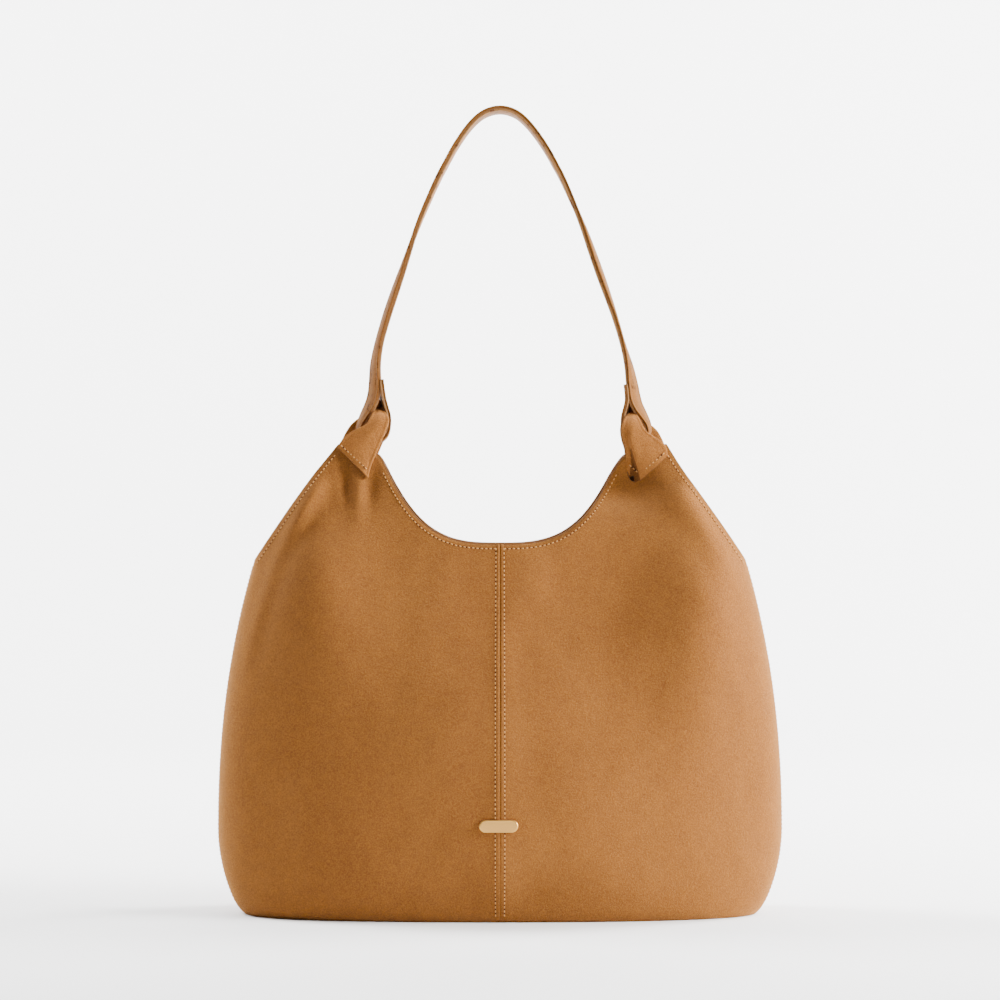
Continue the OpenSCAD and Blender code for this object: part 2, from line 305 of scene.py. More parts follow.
light("key", (2.5, -0.64, 1.15), (0, 0, 0.2), 1.2, 312)
light("top", (0.2, -0.7, 2.6), (0, -0.3, 0.0), 1.8, 24)
light("fill", (-2.2, -1.6, 0.8), (0, 0, 0.2), 1.6, 2)
light("backdrop_left", (-1.5, 0.6, 1.6), (0.2, 2.3, 0.4), 1.2, 185)
light("backdrop_right", (1.5, 0.6, 1.6), (-0.2, 2.3, 0.4), 1.2, 185)

# ------------------------------------------------------------------ mesh helpers


def add_mesh(name, points, faces, material, smooth=True, mats=None, face_mat=None):
    """A mesh object from points in millimetres; face_mat picks from mats for each face."""
    mesh = bpy.data.meshes.new(name)
    places = [tuple(point) for point in np.asarray(points) * MM]
    mesh.from_pydata(places, [], [tuple(int(i) for i in face) for face in faces])
    for each in mats or [material]:
        mesh.materials.append(each)
    if face_mat is not None:
        mesh.polygons.foreach_set("material_index", np.asarray(face_mat, np.int32))
    mesh.polygons.foreach_set("use_smooth", [smooth] * len(mesh.polygons))
    mesh.update()
    obj = bpy.data.objects.new(name, mesh)
    bpy.context.scene.collection.objects.link(obj)
    return obj


def grid_faces(rows, cols, start, flip, wrap=False):
    """Quads between the points of a grid; wrap joins the last column to the first."""
    row = np.arange(rows - 1)[:, None]
    col = np.arange(cols if wrap else cols - 1)[None, :]
    here = start + row * cols + col
    beside_here = start + row * cols + (col + 1) % cols
    beside_next = start + (row + 1) * cols + (col + 1) % cols
    next_row = start + (row + 1) * cols + col
    faces = np.stack([here, beside_here, beside_next, next_row], -1).reshape(-1, 4)
    return faces[:, ::-1] if flip else faces


def sheet(name, outer, inner, material, body, flip, inner_material=None):
    """A closed sheet between two grids of points, (rows, cols, 3) each."""
    rows, cols = outer.shape[:2]
    count = rows * cols
    outside = grid_faces(rows, cols, 0, flip)
    inside = grid_faces(rows, cols, count, not flip)
    edge = np.concatenate([np.arange(cols), np.arange(1, rows) * cols + cols - 1,
                           (rows - 1) * cols + np.arange(cols - 2, -1, -1),
                           np.arange(rows - 2, 0, -1) * cols])
    following = np.roll(edge, -1)
    rim = np.stack([edge, edge + count, following + count, following], -1)
    if flip:
        rim = rim[:, ::-1]
    faces = np.concatenate([outside, inside, rim])
    which = np.concatenate([np.zeros(len(outside)), np.ones(len(inside)), np.zeros(len(rim))])
    points = np.concatenate([outer.reshape(-1, 3), inner.reshape(-1, 3)])
    mats = [material, inner_material or material]
    obj = add_mesh(name, points, faces, None, mats=mats, face_mat=which)
    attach(obj, body)
    return obj


def unit(vectors):
    """The same directions with length 1."""
    return vectors / np.maximum(np.linalg.norm(vectors, axis=-1, keepdims=True), 1e-9)


def sweep(name, centre, across, up, section, material, body=None, mats=None, cap_mat=0):
    """Carries a closed section, (k, 2), along centre, with one frame of two vectors at each point."""
    rings = np.broadcast_to(section, (len(centre), *section.shape[-2:]))
    points = centre[:, None] + rings[..., :1] * across[:, None] + rings[..., 1:] * up[:, None]
    rows, cols = rings.shape[:2]
    faces = grid_faces(rows, cols, 0, False, True).tolist()
    which = [0] * len(faces)
    faces += [list(range(cols - 1, -1, -1)), list(range((rows - 1) * cols, rows * cols))]
    which += [cap_mat, cap_mat]
    obj = add_mesh(name, points.reshape(-1, 3), faces, material, mats=mats, face_mat=which)
    fix_normals(obj)
    if body:
        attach(obj, body)
    return obj


def fix_normals(obj):
    """Turns all faces of a closed mesh outwards."""
    mesh = bmesh.new()
    mesh.from_mesh(obj.data)
    bmesh.ops.recalc_face_normals(mesh, faces=mesh.faces)
    mesh.to_mesh(obj.data)
    mesh.free()


def resample(path, step, extra=None):
    """Points every step along a polyline, and the same for extra arrays."""
    path = np.asarray(path, float)
    length = np.concatenate([[0], np.cumsum(np.linalg.norm(np.diff(path, axis=0), axis=1))])
    count = max(2, int(round(length[-1] / step)) + 1)
    places = np.linspace(0, length[-1], count)

    def take(values):
        return np.stack([np.interp(places, length, values[:, i]) for i in range(values.shape[1])], -1)

    return (take(path), *[take(np.asarray(each, float)) for each in (extra or [])])


def stitches(name, path, normals):
    """A row of thread stitches that dip into the surface at both ends, with needle holes between them in a
    near-black that paints their shade.
    """
    pitch, length, radius = 3.2, 1.75, 0.38
    needle, needle_up = resample(path, pitch, [normals])
    needle_up = unit(needle_up)
    middle = (needle[1:] + needle[:-1]) / 2
    middle_up = unit(needle_up[1:] + needle_up[:-1])
    way = unit(needle[1:] - needle[:-1])
    across = unit(np.cross(way, middle_up))
    ring = np.array([(math.cos(angle), math.sin(angle)) for angle in np.linspace(0, 2 * math.pi, 7)[:-1]])
    # six rings along a stitch, each with a place along it, a thickness and a height over the surface
    along = np.array([-0.5, -0.40, -0.15, 0.15, 0.40, 0.5])
    fat = np.array([0.25, 0.85, 1.0, 1.0, 0.85, 0.25])
    lift = np.array([-0.55, -0.05, 0.22, 0.22, -0.05, -0.55])
    thick = fat[None, :, None, None] * radius
    points = (middle[:, None, None] + way[:, None, None] * (along * length)[None, :, None, None]
              + middle_up[:, None, None] * (lift[None, :, None, None] * 0.8 + thick * ring[None, None, :, 1:])
              + across[:, None, None] * (thick * 1.15 * ring[None, None, :, :1]))
    sides = len(ring)
    size = len(along) * sides
    tube = grid_faces(len(along), sides, 0, False, True)
    faces = np.concatenate([tube + i * size for i in range(len(middle))]).tolist()
    for i in range(len(middle)):
        faces += [[i * size + j for j in range(sides - 1, -1, -1)],
                  [(i + 1) * size - sides + j for j in range(sides)]]
    obj = add_mesh(name, points.reshape(-1, 3), faces, THREAD)
    fix_normals(obj)
    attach(obj, "bag")
    # the needle holes: small dips in the painted-shade near-black
    hole, hole_up = needle[1:-1], needle_up[1:-1]
    hole_way = unit(way[1:] + way[:-1])
    hole_across = unit(np.cross(hole_way, hole_up))
    rows = []
    # (radius, height) of the two rings of each hole
    for hole_radius, hole_height in [(0.44, 0.12), (0.68, -0.3)]:
        round_hole = (hole_way[:, None] * ring[None, :, :1] * hole_radius * 0.9
                      + hole_across[:, None] * ring[None, :, 1:] * hole_radius)
        rows.append(hole[:, None] + hole_up[:, None] * hole_height + round_hole)
    hole_middle = hole + hole_up * 0.02
    points = np.concatenate([np.stack(rows, 1).reshape(len(hole), 2 * sides, 3), hole_middle[:, None]], 1)
    size = 2 * sides + 1
    round_pairs = [(j, (j + 1) % sides) for j in range(sides)]
    faces = []
    for first in range(0, len(hole) * size, size):
        second = first + sides
        faces += [[first + j, second + j, second + k, first + k] for j, k in round_pairs]
        faces += [[first + size - 1, first + j, first + k] for j, k in round_pairs]
        faces += [[second + j for j in range(sides - 1, -1, -1)]]
    dots = add_mesh(name + "_holes", points.reshape(-1, 3), faces, HOLE_SHADE)
    fix_normals(dots)
    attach(dots, "bag")


def spline(points, per):
    """Catmull-Rom through a short list of points, with so many steps between each two."""
    knots = np.asarray(points, float)
    curve = []
    for i in range(len(knots) - 1):
        before, here = knots[max(0, i - 1)], knots[i]
        after, last = knots[i + 1], knots[min(len(knots) - 1, i + 2)]
        for step in range(per):
            part = step / per
            curve.append(0.5 * (2 * here + (after - before) * part
                                + (2 * before - 5 * here + 4 * after - last) * part * part
                                + (3 * here - before - 3 * after + last) * part ** 3))
    curve.append(knots[-1])
    return np.array(curve)


# ------------------------------------------------------------------ the body's surface

# heights, in millimetres: the widest place, the lower end of the wing's slant, the neckline, the wing's tip
BELLY, KINK, NECK, WING = 63.0, 258.0, 271.0, 338.0
HALF_WIDTH, HALF_DEPTH = 207.0, 65.0
# the wing's tip lies between these shares of the half width
TIP_IN, TIP_OUT = 0.62, 0.805
SUEDE_THICK = 1.6
# turns a share of the half width into millimetres beside the centre seam, roughly
SEAM_SCALE = 200.0
# the topstitching's distance from the edges
ROW_IN = 3.3


def ease(t):
    """0 below 0, 1 above 1, and a smooth step between."""
    t = np.clip(t, 0, 1)
    return t * t * (3 - 2 * t)


def half_width(z):
    """Half the width at a height."""
    low = HALF_WIDTH - 16 * ((BELLY - z) / BELLY) ** 2 - 3.2 * np.exp(-z / 4)
    high = HALF_WIDTH - 26.5 * (np.maximum(z - BELLY, 0) / 195) ** 2.15
    return np.where(z < BELLY, low, high)


def half_depth(z):
    """Half the depth at a height, at the middle."""
    low = HALF_DEPTH - 5 * ((BELLY - z) / BELLY) ** 2 - 4.5 * np.exp(-z / 3)
    high = HALF_DEPTH - 29 * (np.maximum(z - BELLY, 0) / 208) ** 1.9
    return np.where(z < BELLY, low, high)


def square(z):
    """How square the plan is at a height: 2 would be an ellipse."""
    return 2.5 + 0.7 * ease((z - 60) / 180)


def share(s, z):
    """The half depth at a share of the half width, as a share: the plan is a squarish oval."""
    power = square(z)
    return np.maximum(0, 1 - s ** power) ** (1 / power)


def surface_y(x, z):
    """The smooth body's distance from the middle plane, front or back."""
    return half_depth(z) * share(np.clip(np.abs(x) / half_width(z), 0, 1), z)


def outward(s, z):
    """The unit normal of the smooth body, for the quarter with positive x and y."""
    power, width, depth, back = square(z), half_width(z), half_depth(z), share(s, z)
    width_slope = (half_width(z + 0.4) - half_width(z - 0.4)) / 0.8
    depth_slope = (half_depth(z + 0.4) - half_depth(z - 0.4)) / 0.8
    rise = s ** power * width_slope / width + back ** power * depth_slope / depth
    normal = np.stack([s ** (power - 1) / width, back ** (power - 1) / depth, -rise], -1)
    return unit(normal)


def top_z(s):
    """The height of the free edge, by the share of the half width."""
    s = np.asarray(s, float)
    neck = NECK + (WING - NECK) * (1 - (1 - (np.minimum(s, TIP_IN) / TIP_IN) ** 3.1) ** 1.75)
    side = KINK + (WING + 6 - KINK) * np.clip((1 - s) / (1 - TIP_OUT), 0, 1)
    peak = np.interp(s, [TIP_IN, TIP_OUT], [WING, WING + 6])
    return np.where(s <= TIP_IN, neck, np.where(s <= TIP_OUT, peak, side))


def sway(z):
    """The wings and loops lean a little to one side."""
    return 3.0 * ease((z - 317) / 46) * (1 - ease((z - 385) / 50))


def bell(distance, width):
    """A smooth bump of width w round zero."""
    return np.exp(-(distance / width) ** 2)


def beside(points, x, z):
    """Distance to a line through points, signed, with the share of the way along it."""
    line = spline(points, 4)
    best, place, sign = np.full(x.shape, 1e9), np.zeros(x.shape), np.ones(x.shape)
    for i in range(len(line) - 1):
        way = line[i + 1] - line[i]
        part = np.clip(((x - line[i, 0]) * way[0] + (z - line[i, 1]) * way[1]) / (way @ way), 0, 1)
        gap_x, gap_z = x - line[i, 0] - part * way[0], z - line[i, 1] - part * way[1]
        gap = np.hypot(gap_x, gap_z)
        near = gap < best
        best = np.where(near, gap, best)
        place = np.where(near, (i + part) / (len(line) - 1), place)
        sign = np.where(near, np.sign(way[0] * gap_z - way[1] * gap_x), sign)
    return best * sign, place


def oval(x, z, mid_x, mid_z, radius_x, radius_z, turn):
    """A smooth bump over an oval, turned by an angle in degrees."""
    cos, sin = math.cos(math.radians(turn)), math.sin(math.radians(turn))
    along, aside = (x - mid_x) * cos + (z - mid_z) * sin, -(x - mid_x) * sin + (z - mid_z) * cos
    return np.exp(-(along / radius_x) ** 2 - (aside / radius_z) ** 2)


# the front's creases, from the wings down, as seen from the front
CREASES = {
    -1: [(-127, 322), (-145, 292), (-160, 265), (-170, 238), (-183, 195), (-191, 150)],
    1: [(126, 318), (138, 303), (152, 282), (166, 260), (176, 240), (182, 215), (188, 170)],
}


def fade_ends(part):
    """Fades a crease in at its top and out, more slowly, at its foot."""
    return ease(part * 8) * ease((1 - part) * 3)


def relief(x, z, side, face):
    """Soft folds and dents, in millimetres outwards. x is the distance from the middle, sx the signed one."""
    sx = side * x
    out = np.zeros_like(x)
    if face < 0:
        # the creases where the front turns to the sides
        gap, part = beside(CREASES[-1], sx, z)
        out += (1.6 * bell(gap, 4.5) - 0.8 * bell(np.abs(gap) - 10, 5)) * fade_ends(part)
        gap, part = beside(CREASES[1], sx, z)
        out += (2.4 * bell(gap, 8.5) - 0.7 * bell(np.abs(gap) - 17, 8)) * fade_ends(part)
        # broad swells below the wings
        out += 11.5 * oval(sx, z, -131, 246, 37, 58, 6) + 9.5 * oval(sx, z, 152, 226, 35, 100, -7)
        out -= 5.2 * oval(sx, z, 72, 243, 50, 50, -14) + 2.2 * oval(sx, z, 62, 186, 34, 42, -24)
        # where the tongues gather the wings
        if side < 0:
            out += 5.0 * oval(sx, z, -146, 301, 11, 32, -38)
            out -= 3.8 * oval(sx, z, -112.5, 315, 5.2, 14, 6) + 2.6 * oval(sx, z, -94.5, 311, 5.0, 12, -5)
            out += 1.8 * oval(sx, z, -103, 306, 5.6, 18, 3) - 1.5 * oval(sx, z, -122, 308, 7, 20, 12)
        else:
            out -= 15.5 * oval(sx, z, 84, 313, 33, 19, 4)
            out += 3.4 * oval(sx, z, 127, 302, 11, 27, 32)
        # a slight ridge at the middle seam, low down
        out += 9.5 * np.clip(1 - x / 165, 0, 1) ** 1.1 * ease((225 - z) / 110) * ease(z / 50)
        out += (4.5 * np.exp(-(np.minimum(sx + 8, 0) / 115) ** 2 - (np.maximum(sx + 8, 0) / 75) ** 2)
                * bell(z - 162, 60))
    else:
        gap, part = beside([(126, 320), (152, 283), (172, 240), (188, 180)], x, z)
        out += (2.4 * bell(gap, 6) - 1.6 * bell(np.abs(gap) - 12, 6)) * fade_ends(part)
        out -= 4.5 * oval(x, z, 106, 311, 15, 12, 10)
        out += 4.0 * oval(x, z, 136, 215, 34, 80, 0)
        out += 2.0 * np.clip(1 - x / 75, 0, 1) ** 1.2 * ease((215 - z) / 90) * ease(z / 40)
    # slack leather: slow waves, then small ones
    waves = 1.5 * np.sin(sx / 37 + z / 71 + 1.7 * face) * np.sin(z / 52 - sx / 88 + 1.1)
    waves += 0.75 * np.sin(sx / 19 - z / 33 + 2.0 * face) * np.sin(z / 27 + sx / 61 + 0.4)
    waves += 0.28 * np.sin(sx / 8.3 + 2.2 * np.sin(z / 31)) * np.sin(z / 10.7 + 1.6 * np.sin(sx / 23 + face))
    if face > 0:
        waves = np.abs(waves)
    out += waves * (1 - 0.8 * bell(x, 12))
    # nothing moves at the base seam, at the side seams or round the snap
    out *= ease(z / 26) * (0.25 + 0.75 * ease((half_width(z) - x) / 30))
    return out * ease((np.hypot(x, z - 249) - 16.5) / 26)


def seam_profile(distance, side):
    """The centre seam by distance from it: a groove, a raised bead and a dip under the stitches."""
    bead = 0.4 if side < 0 else 0.3
    return bead * bell(distance - 1.6, 1.5) - 0.55 * bell(distance, 0.4) - 0.2 * bell(distance - ROW_IN, 0.6)


def skin(s, z, side, face, lift=0.0, fine=True):
    """A point of the body's suede, lifted outwards by lift, in millimetres."""
    s, z = np.broadcast_arrays(np.asarray(s, float), np.asarray(z, float))
    x, y = s * half_width(z), half_depth(z) * share(s, z)
    normal = outward(s, z)
    soft = relief(x, z, side, face)
    out = np.zeros_like(x) + lift
    if fine:
        out = out + seam_profile(s * SEAM_SCALE, side) * ease(z / 8) * (0.5 + 0.5 * ease((z - 45) / 60))
        out = out - 0.9 * bell(y, 1.6) * (z < KINK + 3)
    point = np.stack([x, y, z], -1) + normal * out[..., None]
    # the soft folds go mostly to the front or back
    point = point + normal * np.array([0.2, 1.0, 0.3]) * soft[..., None]
    point[..., 0] = np.maximum(point[..., 0], 0.0)
    point[..., 1] = np.maximum(point[..., 1], 0.04)
    point[..., 0] = point[..., 0] * side + sway(z)
    point[..., 1] *= face
    normal = normal * np.array([side, face, 1.0])
    return point, normal


def from_xz(x, z, side, face, lift):
    """The same by distance from the middle and height."""
    return skin(np.clip(np.abs(x) / half_width(z), 0, 0.9995), z, side, face, lift)


# the panels' columns, as shares of the half width: closest at the centre seam and the side seam
FINE = np.concatenate([np.array([0, 0.35, 0.7, 1.1, 1.5, 1.9, 2.3, 2.7, 3.0, 3.3, 3.6, 4.0,
                                 4.6, 5.4, 6.4, 7.8, 9.6, 11.8]) / SEAM_SCALE,
                       np.linspace(0.071, TIP_IN, 42),
                       TIP_IN + (TIP_OUT - TIP_IN) * np.linspace(0, 1, 22)[1:],
                       1 - (1 - TIP_OUT) * (1 - np.linspace(0, 1, 30)[1:]) ** 2.0])
ROWS = np.linspace(0, 1, 120) ** 1.25


def panel(name, side, face):
    """One quarter of the body: half of the front (face -1) or back (face 1)."""
    s, rise = np.meshgrid(FINE, ROWS)
    z = rise * top_z(s)
    outer, _ = skin(s, z, side, face)
    inner, _ = skin(s, z, side, face, -SUEDE_THICK, fine=False)
    obj = sheet(name, outer, inner, SUEDE, "bag", flip=side * face > 0, inner_material=SUEDE_BACK)
    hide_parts(name)


for side, sname in ((-1, "left"), (1, "right")):
    for face, fname in ((-1, "front"), (1, "back")):
        panel(f"{fname}_panel_{sname}", side, face)


def half_sheet(name, face, near, far, low, high, rows, material):
    """An inner layer of the front or back, between two depths behind the suede's outer face."""
    shares = np.append(FINE[::2], FINE[-1])
    rises = np.linspace(low, high, rows)
    layers = []
    for depth in (near, far):
        halves = []
        for side in (-1, 1):
            s, rise = np.meshgrid(shares, rises)
            points, _ = skin(s, rise * top_z(s), side, face, -depth, fine=False)
            halves.append(points[:, ::-1] if side < 0 else points[:, 1:])
        layers.append(np.concatenate(halves, 1))
    obj = sheet(name, layers[1], layers[0], material, "bag", flip=face < 0)
    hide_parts(name)


for face, fname in ((-1, "front"), (1, "back")):
    half_sheet(f"lining_{fname}", face, 1.9, 2.6, 0.02, 0.865, 60, LINING)
    half_sheet(f"facing_{fname}", face, 1.85, 2.9, 0.855, 0.992, 24, SUEDE_BACK)

# ------------------------------------------------------------------ free edges and their topstitching


def rim_line():
    """The free edge of one quarter, from the neckline's middle to the kink: shares of the width, heights."""
    s = np.concatenate([np.linspace(0, TIP_IN, 90), np.linspace(TIP_IN, TIP_OUT, 24)[1:],
                        1 - (1 - TIP_OUT) * (1 - np.linspace(0, 1, 50)[1:]) ** 1.4])
    return s, top_z(s)


def edge_piece(face, fname):
    """The painted rim along the free edge of the front or back."""
    points, normals = [], []
    for side in (-1, 1):
        s, z = rim_line()
        line, out = skin(s, z, side, face, -1.35, fine=False)
        points.append(line[::-1] if side < 0 else line[1:])
        normals.append(out[::-1] if side < 0 else out[1:])
    line, out = np.concatenate(points), np.concatenate(normals)
    line, out = resample(line, 1.6, [out])
    out = unit(out)
    way = unit(np.gradient(line, axis=0))
    up = unit(np.cross(out, way))
    up *= np.sign(up[:, 2:] + 1e-6)
    angle = np.linspace(0, 2 * math.pi, 13)[:-1]
    # 3 mm across the leather's edge and 1.1 mm high
    flat = np.sign(np.cos(angle)) * np.abs(np.cos(angle)) ** 0.8
    section = np.stack([1.5 * flat, 0.55 * np.sin(angle)], -1)
    obj = sweep(f"edge_paint_{fname}", line, out, up, section, EDGE, "bag")


for face, fname in ((-1, "front"), (1, "back")):
    edge_piece(face, fname)


def inset(s, distance):
    """A line at a distance inside the free edge, by shares of the half width, as x and z."""
    z = top_z(s)
    x = s * half_width(z)
    step_x, step_z = np.gradient(x), np.gradient(z)
    step = np.hypot(step_x, step_z)
    return x + step_z / step * distance, z - step_x / step * distance


def quarter_rows(side, face, place):
    """The four rows of stitches on one quarter of the body."""
    x, z = inset(np.linspace(0.012, TIP_IN, 160), ROW_IN)
    keep = z < WING - 14
    stitches(f"stitch_neck_{place}", *from_xz(x[keep], z[keep], side, face, 0.1))
    x, z = inset(1 - (1 - TIP_OUT) * np.linspace(1, 0, 120), ROW_IN)
    keep = (z < WING - 1) & (x > 100)
    stitches(f"stitch_wing_{place}", *from_xz(x[keep], z[keep], side, face, 0.1))
    z = np.linspace(4, NECK - 2, 200)
    stitches(f"stitch_seam_{place}", *skin(np.full_like(z, ROW_IN / SEAM_SCALE), z, side, face, 0.12))
    # beside the side seam, at a fixed distance round from it
    z = np.linspace(8, KINK - 3, 160)
    power = square(z)
    s = (1 - np.minimum(1, 3.4 / half_depth(z)) ** power) ** (1 / power)
    stitches(f"stitch_side_{place}", *skin(s, z, side, face, 0.1))


for face, fname in ((-1, "front"), (1, "back")):
    for side, sname in ((-1, "left"), (1, "right")):
        quarter_rows(side, face, f"{fname}_{sname}")

# ------------------------------------------------------------------ base


def outline(z, inward, count):
    """Points round the body at a height, moved inward."""
    z = np.array(float(z))
    angle = np.linspace(0, 2 * math.pi, count + 1)[:-1]
    power = 2 / square(z)
    cos, sin = np.cos(angle), np.sin(angle)
    return np.stack([np.sign(cos) * (half_width(z) - inward) * np.abs(cos) ** power,
                     np.sign(sin) * (half_depth(z) - inward) * np.abs(sin) ** power], -1)


def plate(name, layers, material):
    """A flat plate in the outline of the foot, from rings of (height, inset), with a face at each end."""
    points, count = [], 120
    for height, inward in layers:
        points.append(np.concatenate([outline(0, inward, count), np.full((count, 1), height)], 1))
    faces = grid_faces(len(layers), count, 0, False, True).tolist()
    faces += [list(range(count)), list(range((len(layers) - 1) * count, len(layers) * count))]
    obj = add_mesh(name, np.concatenate(points), faces, material, smooth=False)
    fix_normals(obj)
    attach(obj, "bag")
    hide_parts(name)


plate("base_panel", [(0.0, 2.4), (0.15, 1.6), (0.7, 1.2), (1.5, 1.2)], SUEDE)
plate("lining_floor", [(3.9, 4.6), (4.6, 4.6)], LINING)

# ------------------------------------------------------------------ tongues

# the height of the strap's axis, the radius of the arch's middle line over it, and the tongue's thickness
AXIS_Z = 353.0
MID_R, THICK = 16.4, 3.6
# where the right tongue folds, as a share of its width
FOLD_AT = 0.66

# outer edge, fold and inner edge of each tongue from foot to crown, as seen from the front
TONGUE = {
    -1: ([(-118.3, 341), (-116.4, 345.8), (-110.8, 351.6), (-103.8, 355.8), (-98.2, 358.6),
          (-94.9, 364.2), (-92.4, 370.8)],
         None,
         [(-96.1, 319), (-93.7, 328.5), (-90.2, 337.3), (-85.9, 347.5), (-82.7, 355.6),
          (-81.2, 363.6), (-86, 370.4)]),
    1: ([(122.6, 335.4), (121.4, 341.6), (117, 346.4), (111.4, 350.1), (106.5, 353.9),
         (103.1, 361.1), (99.8, 367.6)],
        [(102.7, 317.2), (100.3, 326.3), (96.8, 337), (94.4, 346.8), (93.6, 354.8),
         (94.8, 361.5), (97.3, 367.8)],
        [(92.6, 326.8), (92.2, 333.6), (92, 340.2), (89.7, 348.3), (88.9, 356.3),
         (90.9, 363.4), (94.8, 367.4)]),
}


def tongue_mid(xz, face, crown):
    """Middle-surface point and outward normal of a tongue from its front-view place."""
    x, z = xz[..., 0], xz[..., 1]
    rise = np.clip((z - AXIS_Z) / (crown - AXIS_Z), 0, 1)
    angle = np.arcsin(rise)
    low_z = np.minimum(z, WING + 4)
    side = 1 if np.mean(x) > 0 else -1
    base = surface_y(x - sway(z), low_z) + relief(np.abs(x), low_z, side, face) + THICK / 2 + 0.2
    wrap = MID_R * np.cos(angle)
    low = ease((z - (WING - 8)) / 18)
    y = np.where(z < AXIS_Z, base * (1 - low) + MID_R * low, wrap)
    height = np.where(z > AXIS_Z, AXIS_Z + MID_R * rise * (crown - AXIS_Z) / (MID_R + THICK / 2), z)
    normal = np.stack([np.zeros_like(y), face * np.where(z > AXIS_Z, np.cos(angle), 1.0),
                       np.where(z > AXIS_Z, np.sin(angle), 0.12)], -1)
    return np.stack([x, face * y, height], -1), unit(normal)


def across_fold(outer, fold, inner, part):
    """A place across a tongue by the share of its width; it turns at the fold where there is one."""
    if fold is None:
        return outer + (inner - outer) * part
    return np.where(part < FOLD_AT, outer + (fold - outer) * part / FOLD_AT,
                    fold + (inner - fold) * (part - FOLD_AT) / (1 - FOLD_AT))


def tongue(side, sname):
    """A tongue from its foot on the front, over the strap's loop, to its foot on the back."""
    outer, fold, inner = (None if line is None else spline(line, 9) for line in TONGUE[side])
    crown = max(outer[-1, 1], inner[-1, 1]) + 0.02
    count = len(outer)
    angle = np.linspace(0, 2 * math.pi, 65)[:-1]
    across = np.sign(np.cos(angle)) * np.abs(np.cos(angle)) ** 0.7
    through = np.sign(np.sin(angle)) * np.abs(np.sin(angle)) ** 0.5
    part = (1 - across) / 2
    # behind, the outer edge runs higher and a little further out
    at = np.arange(count)
    back_out = outer + np.outer(bell(at - 29, 17) * ease(at / 8), [side * 2.6, 7.6])
    halves = []
    for face in (-1, 1):
        edge = outer if face < 0 else back_out
        rows = []
        for i in range(count):
            part_column = part[:, None]
            xz = across_fold(edge[i], None if fold is None else fold[i], inner[i], part_column)
            if fold is not None:
                past = np.clip((part_column - FOLD_AT) / (1 - FOLD_AT), 0, 1)
                bend = xz + np.sin(math.pi * past) * (1 - ease(i / 9)) * np.array([-1.8, -4.4])
                flat = across_fold(edge[i], None, inner[i], part_column)
                xz = bend if face < 0 else flat * 0.35 + bend * 0.65
            points, normals = tongue_mid(xz, face, crown)
            width = np.linalg.norm(edge[i] - inner[i])
            to_edge = np.minimum(part, 1 - part) * width
            full = THICK / 2 * (1 - 0.18 * bell(to_edge - 2.4, 1.0))
            full = full + 1.1 * ease((to_edge - 3) / 9) * ease(i / 14)
            if fold is not None and face < 0:
                # the inner third is tucked back behind the fold
                tuck_part = np.clip((part - FOLD_AT) / (1 - FOLD_AT), 0, 1)
                tuck = ease(tuck_part * 4.5) * ease((36 - i) / 16)
                full = full * (1 - 0.62 * tuck) + 1.2 * bell(part - 0.62, 0.05) * ease((38 - i) / 14)
                full = full + 0.5 * bell(tuck_part - 0.8, 0.2) * tuck
                points = points - normals * (1.7 * tuck * ease((count - i) / 10))[:, None]
            if face > 0:
                points[:, 2] += 6.5 * ease((i - count + 18) / 14)
            inside = np.where(through > 0, full, THICK / 2)
            rows.append(points + normals * (through * inside * (0.86 + 0.14 * ease(i / 5)))[:, None])
        halves.append(rows)
    rings = np.array(halves[0] + halves[1][::-1][1:])
    cols = rings.shape[1]
    faces = grid_faces(len(rings), cols, 0, False, True).tolist()
    faces += [list(range(cols - 1, -1, -1)), list(range((len(rings) - 1) * cols, len(rings) * cols))]
    which = np.zeros(len(faces), int)
    which[-2:] = 2
    # painted shade: faces of the tucked strip just past the fold take the darker suede, where the fold's
    # cavity lies in shadow
    if fold is not None:
        col = np.arange(cols)
        middle_part = (part + np.roll(part, -1)) / 2
        for i in range(21):
            fold_shade = (through > 0) & (middle_part > 0.68) & (middle_part < 0.69 + 0.19 * (1 - i / 21) ** 0.5)
            which[i * cols + col[fold_shade]] = 1
    obj = add_mesh(f"tongue_{sname}", rings.reshape(-1, 3), faces, None,
                   mats=[SUEDE_TAB, SUEDE_FOLD_SHADE, EDGE], face_mat=which)
    fix_normals(obj)
    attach(obj, "bag")
    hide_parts(f"tongue_{sname}")
    for face, fname in ((-1, "front"), (1, "back")):
        # the row across the foot
        i = 3
        steps = np.linspace(0.06, 0.94, 40)[:, None]
        xz = across_fold(outer[i], None if fold is None else fold[i], inner[i], steps) + np.array([0, 2.2])
        points, normals = tongue_mid(xz, face, crown)
        # it dips with the tucked strip
        dips = fold is not None and face < 0
        drop = np.where(steps[:, 0] > 0.7, 1.3, 0.0) if dips else np.zeros(len(steps))
        points = points + normals * (THICK / 2 + 0.12 - drop)[:, None]
        stitches(f"stitch_foot_{fname}_{sname}", points, normals)


tongue(-1, "left")
tongue(1, "right")

# ------------------------------------------------------------------ strap

